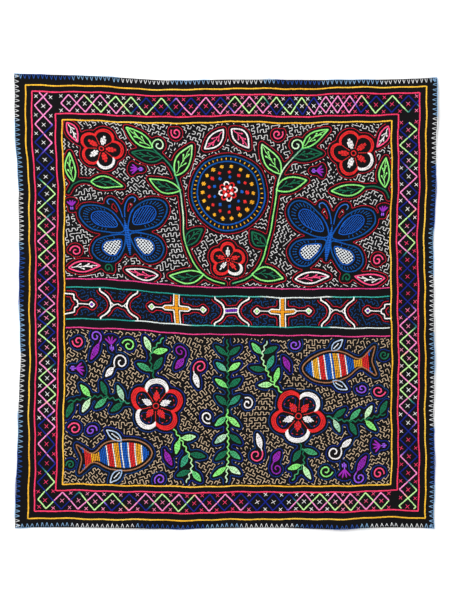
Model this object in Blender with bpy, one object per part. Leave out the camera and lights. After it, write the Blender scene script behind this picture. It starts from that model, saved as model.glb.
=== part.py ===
"""A hand-embroidered cotton cloth, lying flat, with a yarn edging stitched round its rim.

The frame is in metres, +Z up. The origin is the middle of the cloth's outer box, on the
surface that it lies on, and +Y runs up the design. Sizes are written in millimetres.
"""

import bpy
import bmesh

MM = 0.001

# Overall size, over the edging
CLOTH_WIDTH = 550.0
CLOTH_LENGTH = 591.0

# The sheet, its sewn lines and its edging
SHEET_THICKNESS = 1.4
SEWN_LINE_WIDTH = 3.0
SEWN_LINE_HEIGHT = 0.9
EDGING_DIAMETER = 2.0
EDGING_SIDES_RESOLUTION = 2
EDGING_CLEARANCE = 0.3
EDGING_ABOVE_SURFACE = 0.2
CORNER_ARC_POINTS = 3

# How far each side of the cloth is drawn in from its outer box, read at even steps
# along the side. Top and bottom run left to right, left and right run bottom to top.
DRAWN_IN = {
    "top": (0.0, 1.8, 4.8, 8.7, 7.4, 7.8, 7.9, 7.3, 5.3),
    "bottom": (2.1, 2.3, 1.4, 0.3, 1.3, 1.8, 0.0, 2.1, 1.4),
    "left": (1.7, 3.9, 6.2, 8.5, 7.3, 7.1, 5.6, 1.9, 0.0),
    "right": (3.8, 3.4, 3.6, 3.4, 4.0, 4.7, 1.8, 0.4, 0.0),
}

# The band across the middle rides up towards its left end by these amounts.
BAND_RISE = (9.3, 9.3, 9.3, 4.5, 1.0, -0.6, 0.3, 0.3, 0.0)
BAND_MIDDLE = -11.0

# Sewn border lines, each a ring round the cloth: how far in from the edge on each side.
BORDER_LINES = (
    {"name": "outer gold", "left": 14.0, "right": 13.0, "top": 12.7, "bottom": 12.0},
    {"name": "outer pink", "left": 22.0, "right": 21.8, "top": 20.8, "bottom": 21.4},
    {"name": "inner pink", "left": 51.5, "right": 48.6, "top": 47.9, "bottom": 47.3},
    {"name": "inner gold", "left": 60.0, "right": 57.2, "top": 56.2, "bottom": 55.3},
)

# Sewn lines that run across the panel inside the inner gold ring: their heights.
BAND_LINES = (
    {"name": "upper magenta", "y": 20.0},
    {"name": "upper teal", "y": 9.0},
    {"name": "lower teal", "y": -31.0},
    {"name": "lower magenta", "y": -42.3},
)

# Where the rim stands off the surface: the side, how far along it, how high, how long.
RIM_LIFTS = (
    {"side": "top", "share": 0.16, "height": 2.2, "reach": 60.0},
    {"side": "top", "share": 0.62, "height": 1.4, "reach": 70.0},
    {"side": "right", "share": 0.93, "height": 2.6, "reach": 55.0},
    {"side": "right", "share": 0.40, "height": 1.6, "reach": 80.0},
    {"side": "bottom", "share": 0.28, "height": 1.3, "reach": 65.0},
    {"side": "bottom", "share": 0.80, "height": 1.8, "reach": 60.0},
    {"side": "left", "share": 0.55, "height": 1.7, "reach": 75.0},
    {"side": "left", "share": 0.10, "height": 1.5, "reach": 50.0},
)
LIFT_DEPTH = 45.0
LONGEST_STEP = 38.0

HALF_WIDTH = CLOTH_WIDTH / 2
HALF_LENGTH = CLOTH_LENGTH / 2


def between_stations(stations, share):
    """The value that share of the way along, on a smooth curve through the stations."""
    last = len(stations) - 1
    place = min(max(share, 0.0), 1.0) * last
    first = min(int(place), last - 1)
    t = place - first
    before, start, end, after = (
        stations[min(max(k, 0), last)] for k in range(first - 1, first + 3)
    )
    slope = end - before
    bend = 2 * before - 5 * start + 4 * end - after
    twist = 3 * start - before - 3 * end + after
    return start + 0.5 * (slope * t + bend * t**2 + twist * t**3)


def shares_of(x, y):
    """How far across and up the square-cut cloth a point is, each from 0 to 1."""
    return (x + HALF_WIDTH) / CLOTH_WIDTH, (y + HALF_LENGTH) / CLOTH_LENGTH


def panel_weight(y):
    """1 at the band across the middle, falling to 0 at the inner gold ring."""
    inner = BORDER_LINES[-1]
    if y > BAND_MIDDLE:
        span = HALF_LENGTH - inner["top"] - BAND_MIDDLE
    else:
        span = BAND_MIDDLE + HALF_LENGTH - inner["bottom"]
    away = min(abs(y - BAND_MIDDLE) / span, 1.0)
    return (1 - away**2) ** 2


def as_it_lies(x, y):
    """Where a point of the square-cut cloth lies once stitching has drawn it in."""
    across, up = shares_of(x, y)
    left = between_stations(DRAWN_IN["left"], up)
    right = between_stations(DRAWN_IN["right"], up)
    bottom = between_stations(DRAWN_IN["bottom"], across)
    top = between_stations(DRAWN_IN["top"], across)
    rise = between_stations(BAND_RISE, across) * panel_weight(y)
    return (
        x + left * (1 - across) - right * across,
        y + bottom * (1 - up) - top * up + rise,
    )


def rim_lift(x, y):
    """How far a point of the square-cut cloth stands off the surface."""
    inward = {
        "left": x + HALF_WIDTH,
        "right": HALF_WIDTH - x,
        "bottom": y + HALF_LENGTH,
        "top": HALF_LENGTH - y,
    }
    across, up = shares_of(x, y)
    height = 0.0
    for lift in RIM_LIFTS:
        upright = lift["side"] in ("left", "right")
        length = CLOTH_LENGTH if upright else CLOTH_WIDTH
        offset = ((up if upright else across) - lift["share"]) * length
        near = max(1 - (offset / lift["reach"]) ** 2, 0.0) ** 2
        deep = max(1 - inward[lift["side"]] / LIFT_DEPTH, 0.0) ** 2
        height += lift["height"] * near * deep
    return height


def sewn_line_places():
    """The x of each upright sewn line, and the y of each level one, low to high."""
    upright = [-HALF_WIDTH + line["left"] for line in BORDER_LINES]
    upright += [HALF_WIDTH - line["right"] for line in BORDER_LINES]
    level = [-HALF_LENGTH + line["bottom"] for line in BORDER_LINES]
    level += [HALF_LENGTH - line["top"] for line in BORDER_LINES]
    level += [line["y"] for line in BAND_LINES]
    return sorted(upright), sorted(level)


def mesh_lines(half_size, sewn_places):
    """Mesh line places across the sheet: three to a sewn line, and even steps between."""
    places = [-half_size, half_size]
    for place in sewn_places:
        places += [place - SEWN_LINE_WIDTH / 2, place, place + SEWN_LINE_WIDTH / 2]
    places.sort()
    filled = []
    for low, high in zip(places, places[1:]):
        steps = int((high - low) / LONGEST_STEP) + 1
        filled += [low + (high - low) * k / steps for k in range(steps)]
    return filled + [places[-1]]


def on_sewn_line(x, y):
    """Whether a mesh point is on the crest of a sewn line."""
    for line in BORDER_LINES:
        left, right = -HALF_WIDTH + line["left"], HALF_WIDTH - line["right"]
        bottom, top = -HALF_LENGTH + line["bottom"], HALF_LENGTH - line["top"]
        if left <= x <= right and y in (bottom, top):
            return True
        if bottom <= y <= top and x in (left, right):
            return True
    panel_left = -HALF_WIDTH + BORDER_LINES[-1]["left"]
    panel_right = HALF_WIDTH - BORDER_LINES[-1]["right"]
    on_band = any(y == line["y"] for line in BAND_LINES)
    return on_band and panel_left <= x <= panel_right


def material_of(name, colour, roughness):
    """A Principled material in one plain colour."""
    material = bpy.data.materials.new(name)
    material.use_nodes = True
    shader = material.node_tree.nodes["Principled BSDF"]
    shader.inputs["Base Color"].default_value = (*colour, 1.0)
    shader.inputs["Roughness"].default_value = roughness
    shader.inputs["Metallic"].default_value = 0.0
    return material


def build_cloth(collection, x_lines, y_lines):
    """The black cotton sheet: one grid, thickened by an extrusion, its face ribbed."""
    mesh = bpy.data.meshes.new("cloth")
    shape = bmesh.new()
    columns, rows = len(x_lines) - 1, len(y_lines) - 1
    bmesh.ops.create_grid(shape, x_segments=columns, y_segments=rows, size=0.5)
    lower = {}
    for point in shape.verts:
        column = round((point.co.x + 0.5) * columns)
        row = round((point.co.y + 0.5) * rows)
        lower[point] = (x_lines[column], y_lines[row])
    raised = bmesh.ops.extrude_face_region(shape, geom=shape.faces[:])
    upper = [item for item in raised["geom"] if isinstance(item, bmesh.types.BMVert)]
    by_place = {(p.co.x, p.co.y): place for p, place in lower.items()}
    top = {point: by_place[(point.co.x, point.co.y)] for point in upper}
    for point, (x, y) in lower.items():
        point.co = (*(v * MM for v in as_it_lies(x, y)), rim_lift(x, y) * MM)
    for point, (x, y) in top.items():
        height = rim_lift(x, y) + SHEET_THICKNESS
        if on_sewn_line(x, y):
            height += SEWN_LINE_HEIGHT
        point.co = (*(v * MM for v in as_it_lies(x, y)), height * MM)
    bmesh.ops.recalc_face_normals(shape, faces=shape.faces[:])
    shape.to_mesh(mesh)
    shape.free()
    cloth = bpy.data.objects.new("cloth", mesh)
    cloth.data.materials.append(material_of("black cotton", (0.012, 0.011, 0.012), 0.9))
    collection.objects.link(cloth)
    return cloth


def edging_route(x_lines, y_lines):
    """The middle line of the edging: round the cloth beside its mesh points."""
    inset = EDGING_DIAMETER / 2
    right, top = HALF_WIDTH - inset, HALF_LENGTH - inset
    inner_x, inner_y = x_lines[1:-1], y_lines[1:-1]
    sides = (
        ([(x, -top) for x in inner_x], (right, -top)),
        ([(right, y) for y in inner_y], (right, top)),
        ([(x, top) for x in reversed(inner_x)], (-right, top)),
        ([(-right, y) for y in reversed(inner_y)], (-right, -top)),
    )
    route = []
    for side, (corner_x, corner_y) in sides:
        route += side
        route += corner_arc(corner_x, corner_y, side[0], side[-1])
    return route


def corner_arc(corner_x, corner_y, side_start, side_end):
    """Points that round a corner of the edging, from the side that ends there."""
    radius = EDGING_DIAMETER / 2 + EDGING_CLEARANCE / 2
    came_level = side_start[1] == side_end[1]
    into_x = -radius if corner_x > 0 else radius
    into_y = -radius if corner_y > 0 else radius
    arc = []
    for k in range(CORNER_ARC_POINTS):
        share = k / (CORNER_ARC_POINTS - 1)
        away = (1 - share) ** 2
        toward = share**2
        x_part, y_part = (away, toward) if came_level else (toward, away)
        arc.append((corner_x + into_x * x_part, corner_y + into_y * y_part))
    return arc


def build_edging(collection, x_lines, y_lines):
    """The yarn ridge of the edge stitches, one closed cord round the cut edge."""
    curve = bpy.data.curves.new("edging", "CURVE")
    curve.dimensions = "3D"
    curve.bevel_depth = EDGING_DIAMETER / 2 * MM
    curve.bevel_resolution = EDGING_SIDES_RESOLUTION
    route = edging_route(x_lines, y_lines)
    spline = curve.splines.new("POLY")
    spline.points.add(len(route) - 1)
    spline.use_cyclic_u = True
    for point, (x, y) in zip(spline.points, route):
        height = rim_lift(x, y) + EDGING_DIAMETER / 2 + EDGING_ABOVE_SURFACE
        point.co = (*(v * MM for v in as_it_lies(x, y)), height * MM, 1.0)
    edging = bpy.data.objects.new("edging", curve)
    edging.data.materials.append(material_of("blue yarn", (0.03, 0.13, 0.48), 0.8))
    collection.objects.link(edging)
    return edging


def main():
    for old in list(bpy.data.objects):
        bpy.data.objects.remove(old)
    collection = bpy.data.collections.new("embroidered cloth")
    bpy.context.scene.collection.children.link(collection)
    cut_back = EDGING_DIAMETER + EDGING_CLEARANCE
    upright, level = sewn_line_places()
    x_lines = mesh_lines(HALF_WIDTH - cut_back, upright)
    y_lines = mesh_lines(HALF_LENGTH - cut_back, level)
    build_cloth(collection, x_lines, y_lines)
    build_edging(collection, x_lines, y_lines)


main()
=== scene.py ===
import math

import bmesh
import bpy
import numpy as np
from mathutils.kdtree import KDTree
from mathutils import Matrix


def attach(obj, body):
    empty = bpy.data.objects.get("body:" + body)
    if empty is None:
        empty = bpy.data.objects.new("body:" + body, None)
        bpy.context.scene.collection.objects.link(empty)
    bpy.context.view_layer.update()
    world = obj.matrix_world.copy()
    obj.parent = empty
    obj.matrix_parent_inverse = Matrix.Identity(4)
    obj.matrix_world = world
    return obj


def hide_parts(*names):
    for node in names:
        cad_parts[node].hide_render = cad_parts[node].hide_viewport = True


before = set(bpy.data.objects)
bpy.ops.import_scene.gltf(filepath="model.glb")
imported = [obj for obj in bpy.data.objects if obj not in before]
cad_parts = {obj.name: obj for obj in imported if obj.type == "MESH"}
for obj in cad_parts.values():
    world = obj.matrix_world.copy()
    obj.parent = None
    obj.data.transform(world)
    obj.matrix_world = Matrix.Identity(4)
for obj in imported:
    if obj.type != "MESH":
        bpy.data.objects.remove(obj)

# A hand-embroidered black cotton cloth that lies flat, face up. Its design is drawn on the
# square-cut cloth in millimetres, x across and y up it, and each stitch is then laid where
# the drawn-in cloth holds it, in the frame's metres.

bpy.ops.object.select_all(action="DESELECT")
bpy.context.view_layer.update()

# The ground is one piece of black cotton, cut square and never hemmed. It is a plain
# weave of matte, slightly hairy thread. The sewing has drawn its sides in and puckered
# it a little, and its rim stands off the surface here and there.

MM = 0.001
CLOTH_WIDTH = 550.0
CLOTH_LENGTH = 591.0
HALF_WIDTH = CLOTH_WIDTH / 2
HALF_LENGTH = CLOTH_LENGTH / 2
SIDES_CUT_BACK = 0.8
ENDS_CUT_BACK = 0.5
GROUND_THICKNESS = 1.0
PUCKER_HEIGHT = 0.22
GRID_COLUMNS = 150
GRID_ROWS = 160
THREAD_SPACING = 1.1  # real threads are 0.5 mm apart, too fine to show

# How far each side is drawn in from the cloth's outer box, at even steps along it. Top
# and bottom run left to right, left and right run bottom to top.
DRAWN_IN = {
    "top": (0.0, 1.8, 4.8, 8.7, 7.4, 7.8, 7.9, 7.3, 5.3),
    "bottom": (2.1, 2.3, 1.4, 0.3, 1.3, 1.8, 0.0, 2.1, 1.4),
    "left": (1.7, 3.9, 6.2, 8.5, 7.3, 7.1, 5.6, 1.9, 0.0),
    "right": (3.8, 3.4, 3.6, 3.4, 4.0, 4.7, 1.8, 0.4, 0.0),
}
BAND_RISE = (9.3, 9.3, 9.3, 4.5, 1.0, -0.6, 0.3, 0.3, 0.0)
BAND_MIDDLE = -11.0
PANEL_TOP_INSET = 56.2
PANEL_BOTTOM_INSET = 55.3
PANEL_RIGHT_INSET = 57.2
PANEL_LEFT_INSET = 60.0
# Where the rim stands off the surface: the side, how far along it, how high and how wide.
RIM_LIFTS = (
    ("top", 0.16, 2.2, 60.0), ("top", 0.62, 1.4, 70.0),
    ("right", 0.93, 2.6, 55.0), ("right", 0.40, 1.6, 80.0),
    ("bottom", 0.28, 1.3, 65.0), ("bottom", 0.80, 1.8, 60.0),
    ("left", 0.55, 1.7, 75.0), ("left", 0.10, 1.5, 50.0),
)
LIFT_DEPTH = 45.0


def between_stations(stations, share):
    """The values that share of the way along, on a smooth curve through the stations."""
    stations = np.asarray(stations)
    last = len(stations) - 1
    place = np.clip(share, 0.0, 1.0) * last
    first = np.minimum(place.astype(int), last - 1)
    t = place - first
    before, start, end, after = (
        stations[np.clip(first + k, 0, last)] for k in (-1, 0, 1, 2)
    )
    slope = end - before
    bend = 2 * before - 5 * start + 4 * end - after
    twist = 3 * start - before - 3 * end + after
    return start + 0.5 * (slope * t + bend * t**2 + twist * t**3)


def as_it_lies(x, y):
    """Where points of the square-cut cloth lie once the sewing has drawn it in."""
    across, up = x / CLOTH_WIDTH + 0.5, y / CLOTH_LENGTH + 0.5
    above = HALF_LENGTH - PANEL_TOP_INSET - BAND_MIDDLE
    below = BAND_MIDDLE + HALF_LENGTH - PANEL_BOTTOM_INSET
    away = np.abs(y - BAND_MIDDLE) / np.where(y > BAND_MIDDLE, above, below)
    rise = between_stations(BAND_RISE, across) * (1 - np.minimum(away, 1.0) ** 2) ** 2
    left = between_stations(DRAWN_IN["left"], up) * (1 - across)
    right = between_stations(DRAWN_IN["right"], up) * across
    bottom = between_stations(DRAWN_IN["bottom"], across) * (1 - up)
    top = between_stations(DRAWN_IN["top"], across) * up
    return x + left - right, y + bottom - top + rise


def rim_lift(x, y):
    """How far points of the square-cut cloth stand off the surface."""
    inward = {
        "left": x + HALF_WIDTH,
        "right": HALF_WIDTH - x,
        "bottom": y + HALF_LENGTH,
        "top": HALF_LENGTH - y,
    }
    lifted = np.zeros_like(x)
    for side, share, height, reach in RIM_LIFTS:
        upright = side in ("left", "right")
        length = CLOTH_LENGTH if upright else CLOTH_WIDTH
        offset = (y if upright else x) + length / 2 - share * length
        near = np.maximum(1 - (offset / reach) ** 2, 0.0) ** 2
        deep = np.maximum(1 - inward[side] / LIFT_DEPTH, 0.0) ** 2
        lifted += height * near * deep
    return lifted


def pucker(x, y):
    """How high the sewn ground swells between its stitches, from 0 up."""
    swell = np.sin(x / 5.3 + 1.2 * np.sin(y / 17.0)) * np.sin(y / 6.1 + np.sin(x / 19.0))
    swell += np.sin(x / 13.0 - y / 9.0) + np.sin(x / 31.0 + y / 23.0 + 2.0)
    return PUCKER_HEIGHT * (swell + 3.0) / 6.0


def lay(x, y, above_ground):
    """Points of the square-cut cloth, at heights above its top face, in metres."""
    top = rim_lift(x, y) + pucker(x, y) + GROUND_THICKNESS
    lying_x, lying_y = as_it_lies(x, y)
    return np.stack([lying_x, lying_y, top + above_ground], axis=-1) * MM


def linear(hex_colour):
    """An sRGB hex colour as the linear red, green, blue and alpha that a shader takes."""
    channels = [int(hex_colour[k : k + 2], 16) / 255 for k in (1, 3, 5)]
    return (*[c / 12.92 if c < 0.0405 else ((c + 0.055) / 1.055) ** 2.4 for c in channels], 1)


def add_node(tree, kind, settings=None, values=None, links=None):
    """A shader node with its settings, its socket values, and the sockets that feed it.

    A node given in place of a socket stands for its first output.
    """
    node = tree.nodes.new("ShaderNode" + kind)
    for name, value in (settings or {}).items():
        setattr(node, name, value)
    for socket, value in (values or {}).items():
        node.inputs[socket].default_value = value
    for socket, source in (links or {}).items():
        if isinstance(source, bpy.types.Node):
            source = source.outputs[0]
        tree.links.new(source, node.inputs[socket])
    return node


def new_material(name, roughness, sheen, mirrored):
    """A material for cotton, its node tree and its shader. Cellulose has an IOR of 1.53."""
    material = bpy.data.materials.new(name)
    material.use_nodes = True
    shader = material.node_tree.nodes["Principled BSDF"]
    for socket, value in (
        ("IOR", 1.53), ("Roughness", roughness), ("Specular IOR Level", mirrored),
        ("Sheen Weight", sheen), ("Sheen Roughness", 0.5),
    ):
        shader.inputs[socket].default_value = value
    return material, material.node_tree, shader


def woven_black_cotton():
    """Plain-woven black cotton: charcoal, not quite even, with a fine pebbled weave whose hollows are
    painted darker as shade.
    """
    material, tree, shader = new_material("woven_black_cotton", 0.95, 0.01, 0.1)
    times = {"operation": "MULTIPLY"}
    half_turns = {1: math.pi / (THREAD_SPACING * MM)}
    place = add_node(tree, "TexCoord").outputs["Object"]
    axes = add_node(tree, "SeparateXYZ", links={"Vector": place})
    ribs = []
    for axis in ("X", "Y"):
        turns = add_node(tree, "Math", times, half_turns, {0: axes.outputs[axis]})
        ribs.append(add_node(tree, "Math", {"operation": "SINE"}, links={0: turns}))
    crossing = add_node(tree, "Math", times, links={0: ribs[0], 1: ribs[1]})
    crown = add_node(tree, "Math", {"operation": "ABSOLUTE"}, links={0: crossing})
    fuzz = add_node(tree, "TexNoise", {}, {"Scale": 900.0, "Detail": 4.0}, {"Vector": place})
    wear = add_node(tree, "TexNoise", {}, {"Scale": 14.0, "Detail": 5.0}, {"Vector": place})
    mottle = add_node(tree, "Math", times, links={0: fuzz, 1: wear})
    tone = add_node(tree, "Math", times, {1: 2.2}, {0: mottle})
    # Painted shade: the colour is darkest in the gaps between the threads and lightest on their crowns,
    # following the weave's relief. The mottle is the cloth's own uneven tone.
    painted_weave_shade = add_node(tree, "Math", times, links={0: tone, 1: crown})
    dye = add_node(tree, "ValToRGB", links={"Fac": painted_weave_shade})
    dye.color_ramp.elements[0].color = linear("#0a090b")
    dye.color_ramp.elements[1].color = linear("#1c1b1e")
    swell = {"Strength": 0.6, "Distance": 0.25 * MM}
    relief = add_node(tree, "Bump", {}, swell, {"Height": crown})
    tree.links.new(dye.outputs["Color"], shader.inputs["Base Color"])
    tree.links.new(relief.outputs["Normal"], shader.inputs["Normal"])
    return material


bpy.ops.mesh.primitive_grid_add(x_subdivisions=GRID_COLUMNS, y_subdivisions=GRID_ROWS, size=1.0)
ground = bpy.context.object
ground.name = "ground_cloth"
flat = np.empty(len(ground.data.vertices) * 3)
ground.data.vertices.foreach_get("co", flat)
flat_x, flat_y, _ = flat.reshape(-1, 3).T
laid = lay(
    flat_x * (CLOTH_WIDTH - 2 * SIDES_CUT_BACK), flat_y * (CLOTH_LENGTH - 2 * ENDS_CUT_BACK), 0.0
)
ground.data.vertices.foreach_set("co", laid.ravel())
thickness = ground.modifiers.new("thickness", "SOLIDIFY")
thickness.thickness = GROUND_THICKNESS * MM
thickness.offset = -1.0
bpy.ops.object.modifier_apply(modifier="thickness")
bpy.ops.object.shade_smooth_by_angle(angle=math.radians(40))
ground.data.materials.append(woven_black_cotton())
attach(ground, "root")
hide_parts("cloth")

# The edging is thick space-dyed yarn, white to light blue to royal blue, sewn round the
# cut edge in closed blanket stitch: pairs of legs that meet in a point on the cloth,
# and a twisted ridge of yarn that lies along the edge itself.

SIDES = ("top", "right", "bottom", "left")
STRAND_FULLNESS = 1.18
STRAND_SHOULDER = 1.25
STRAND_SEAT = 0.32
# The two lobes of a chain stitch: how thick each is, and how far they part and close.
LINK_THICKNESS = 0.42
LINK_PARTING = 0.17
LINK_CLOSING = 0.2
TWIST_PITCH = 1.6  # real floss turns once in about 0.8 mm, too fine to show
DYED = "OFBake"  # this map runs along the dyed yarn: u is the place in its colours
PLY = "ply"  # this map runs along and across each stitch, in turns of its twist
hand = np.random.default_rng(28)


def modelled_strand():
    """One tight strand of yarn, 1 long, 1 wide and 1 high, drawn to a point at its ends."""
    bpy.ops.mesh.primitive_uv_sphere_add(segments=5, ring_count=3, radius=0.5)
    strand = bpy.context.object
    bpy.ops.object.mode_set(mode="EDIT")
    bpy.ops.mesh.select_all(action="SELECT")
    bpy.ops.transform.rotate(value=math.pi / 2, orient_axis="Y", center_override=(0.0, 0.0, 0.0))
    bpy.ops.object.mode_set(mode="OBJECT")
    points = np.array([tuple(vertex.co) for vertex in strand.data.vertices])
    faces = [tuple(face.vertices) for face in strand.data.polygons]
    bpy.data.objects.remove(strand)
    body = np.abs(points[:, 0]) < 0.49  # all but the two tips
    points[body, 1:] *= STRAND_FULLNESS
    points[body, 0] *= STRAND_SHOULDER
    points[:, 2] += STRAND_SEAT
    return points, faces


def chain_link(strand):
    """A chain stitch: two strands that part from one point and close on the next."""
    points, faces = strand
    lobes, lobe_faces = [], []
    for side in (-1, 1):
        parting = LINK_PARTING - LINK_CLOSING * points[:, 0]
        y = LINK_THICKNESS * points[:, 1] + side * parting
        lobes.append(np.stack([points[:, 0], y, points[:, 2]], axis=1))
        start = 0 if side < 0 else len(points)
        lobe_faces += [tuple(corner + start for corner in face) for face in faces]
    return np.concatenate(lobes), lobe_faces


strand = modelled_strand()

# Each kind of stitch: the shape it takes, its sizes, and how far it laps its neighbours.
CHAIN = {"shape": chain_link(strand), "step": 3.2, "width": 2.9, "height": 1.25, "lap": 1.35}
BACK = {"shape": strand, "step": 3.2, "width": 1.35, "height": 0.85, "lap": 1.02}


def by_hand(x, y):
    """How far the sewing strays from the drawn line, smoothly, as a hand does."""
    stray_x = 0.35 * np.sin(y / 7.1 + 1.3 * np.sin(x / 23.0)) + 0.5 * np.sin(y / 19.0 + x / 41.0)
    stray_y = 0.35 * np.sin(x / 6.7 + 1.1 * np.sin(y / 29.0)) + 0.5 * np.sin(x / 17.0 - y / 37.0)
    return stray_x, stray_y


def steps_along(path, step):
    """Even places along a path, ends included, and how far along it each one is."""
    path = np.asarray(path, float)
    lengths = np.hypot(*np.diff(path, axis=0).T)
    along = np.concatenate([[0.0], np.cumsum(lengths)])
    places = np.linspace(0.0, along[-1], max(round(along[-1] / step), 1) + 1)
    x, y = (np.interp(places, along, path[:, k]) for k in (0, 1))
    return np.stack([x, y], axis=1), places


class Yarn:
    """One needleful after another of a yarn in one piece, each stitch a copied shape."""

    def __init__(self, name, dye_run=260.0):
        self.name = name
        self.dye_run = dye_run
        self.used = 0.0
        self.stitches = []

    def sew(self, path, stitch, dye=None, to=None, **changes):
        """Sews along a path. dye and to are the places in the yarn's colours at its ends."""
        stitch = {**stitch, **changes}
        places, along = steps_along(path, stitch["step"])
        middles = (along[1:] + along[:-1]) / 2
        begun = self.used / self.dye_run if dye is None else dye
        pace = 1 / self.dye_run if to is None else (to - begun) / along[-1]
        self.strokes(places[:-1], places[1:], stitch, begun + middles * pace)
        self.used = begun * self.dye_run + along[-1]

    def strokes(self, starts, ends, stitch, dye=0.5):
        """Sews one stitch from each start to its end, at those places in its colours."""
        starts, ends = np.asarray(starts, float), np.asarray(ends, float)
        dye = np.broadcast_to(np.asarray(dye, float) % 1.0, len(starts))
        self.stitches.append((starts, ends, stitch, dye))

    def copies(self, starts, ends, stitch, dye):
        """The points of each copy on the cloth, their two maps, and its faces."""
        shape, faces = stitch["shape"]
        count = len(starts)
        middles = (starts + ends) / 2 + hand.normal(0, 0.07, (count, 2))
        chords = ends - starts
        heading = np.arctan2(chords[:, 1], chords[:, 0]) + hand.normal(0, 0.03, count)
        length = np.hypot(*chords.T) * stitch["lap"] * hand.normal(1, 0.03, count)
        width = stitch["width"] * hand.normal(1, 0.05, count)
        height = stitch["height"] * hand.normal(1, 0.05, count)
        along = shape[None, :, 0] * length[:, None]
        across = shape[None, :, 1] * width[:, None]
        turn_x, turn_y = np.cos(heading)[:, None], np.sin(heading)[:, None]
        x = middles[:, :1] + along * turn_x - across * turn_y
        y = middles[:, 1:] + along * turn_y + across * turn_x
        stray_x, stray_y = by_hand(x, y)
        lift = stitch.get("lift", 0.0)
        points = lay(x + stray_x, y + stray_y, shape[None, :, 2] * height[:, None] + lift)
        tone = hand.uniform(0.1, 0.9, count)[:, None] + 0.03 * shape[None, :, 1]
        colour = np.clip(dye[:, None] + along / self.dye_run, 0.002, 0.998)
        dyed = np.stack([colour, np.clip(tone, 0.02, 0.98)], axis=-1)
        ply = np.stack([along, across], axis=-1) / TWIST_PITCH
        corners = np.array([corner for face in faces for corner in face])
        corners = corners + (np.arange(count) * len(shape))[:, None]
        sides = np.tile([len(face) for face in faces], count)
        flat_maps = dyed.reshape(-1, 2), ply.reshape(-1, 2)
        return points.reshape(-1, 3), *flat_maps, corners.ravel(), sides

    def finish(self, material, slot="embroidery_floss"):
        """Joins every stitch into one mesh, and makes it a piece that rides on the cloth."""
        made = [self.copies(*stitches) for stitches in self.stitches]
        used = 0
        for points, _, _, corners, _ in made:
            corners += used
            used += len(points)
        points, dyed, ply, corners, sides = (np.concatenate(parts) for parts in zip(*made))
        mesh = bpy.data.meshes.new(self.name)
        mesh.vertices.add(len(points))
        mesh.vertices.foreach_set("co", points.ravel())
        mesh.loops.add(len(corners))
        mesh.loops.foreach_set("vertex_index", corners)
        mesh.polygons.add(len(sides))
        mesh.polygons.foreach_set("loop_start", np.cumsum(sides) - sides)
        mesh.update(calc_edges=True)
        for map_name, places in ((DYED, dyed), (PLY, ply)):
            layer = mesh.uv_layers.new(name=map_name)
            layer.uv.foreach_set("vector", places[corners].ravel())
        mesh.shade_smooth()
        mesh.materials.append(material)
        piece = bpy.data.objects.new(self.name, mesh)
        bpy.context.scene.collection.objects.link(piece)
        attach(piece, "root")
        return piece


def dyed_yarn(name, *colours, sheen=0.05):
    """Twisted cotton yarn, dyed along its length: places from 0 to 1 and their colours."""
    material, tree, shader = new_material(name, 0.75, sheen, 0.12)
    dyed = add_node(tree, "UVMap", {"uv_map": DYED})
    axes = add_node(tree, "SeparateXYZ", links={"Vector": dyed})
    dye = add_node(tree, "ValToRGB", links={"Fac": axes.outputs["X"]})
    ramp = dye.color_ramp
    while len(ramp.elements) < len(colours):
        ramp.elements.new(0.5)
    for element, (place, colour) in zip(ramp.elements, colours):
        element.position = place
        element.color = linear(colour)
    tones = {"To Min": 0.84, "To Max": 1.16}
    depth = add_node(tree, "MapRange", {}, tones, {"Value": axes.outputs["Y"]})
    toned = add_node(tree, "HueSaturation", links={"Color": dye, "Value": depth})
    ply = add_node(tree, "UVMap", {"uv_map": PLY})
    diagonal = {"wave_type": "BANDS", "bands_direction": "DIAGONAL"}
    twist = add_node(tree, "TexWave", diagonal, {"Scale": math.pi / 5}, {"Vector": ply})
    swell = {"Strength": 0.5, "Distance": 0.15 * MM}
    relief = add_node(tree, "Bump", {}, swell, {"Height": twist.outputs["Fac"]})
    tree.links.new(toned.outputs["Color"], shader.inputs["Base Color"])
    tree.links.new(relief.outputs["Normal"], shader.inputs["Normal"])
    return material


def plain_yarn(name, colour, deeper, sheen=0.05):
    """Yarn of one colour, a little deeper halfway along each needleful."""
    return dyed_yarn(name, (0.0, colour), (0.5, deeper), (1.0, colour), sheen=sheen)


def half_of(side):
    """Half the length of a side of the cloth."""
    return HALF_WIDTH if side in ("top", "bottom") else HALF_LENGTH


def side_points(side, along, inset):
    """Points that far along a side of the cloth from its middle, and that far in."""
    along, inset = np.broadcast_arrays(np.asarray(along, float), np.asarray(inset, float))
    return {
        "top": np.stack([along, HALF_LENGTH - inset], axis=-1),
        "right": np.stack([HALF_WIDTH - inset, -along], axis=-1),
        "bottom": np.stack([-along, inset - HALF_LENGTH], axis=-1),
        "left": np.stack([inset - HALF_WIDTH, along], axis=-1),
    }[side]


# How far apart the points lie on each side, and how far in from the edge.
EDGE_STITCHES = {
    "top": (5.77, 6.6), "right": (6.28, 6.9), "bottom": (6.49, 6.3), "left": (6.29, 7.3)
}
CORNER_GAP = 0.8
FOOT_SPREAD = 0.29
LEG = {"shape": strand, "step": 7.0, "width": 0.68, "height": 1.0, "lap": 1.08}
# The ridge lies along the edge at the sides, and is hidden under it at the ends.
SIDE_RIDGE = {"shape": strand, "step": 2.95, "width": 0.85, "height": 1.2, "lap": 1.5, "lift": -0.5}
END_RIDGE = {"shape": strand, "step": 2.95, "width": 0.7, "height": 1.0, "lap": 1.5, "lift": -0.9}
RIDGE_CLEARANCE = 0.15
WHITE, LIGHT, ROYAL = 0.12, 0.42, 0.80
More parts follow.
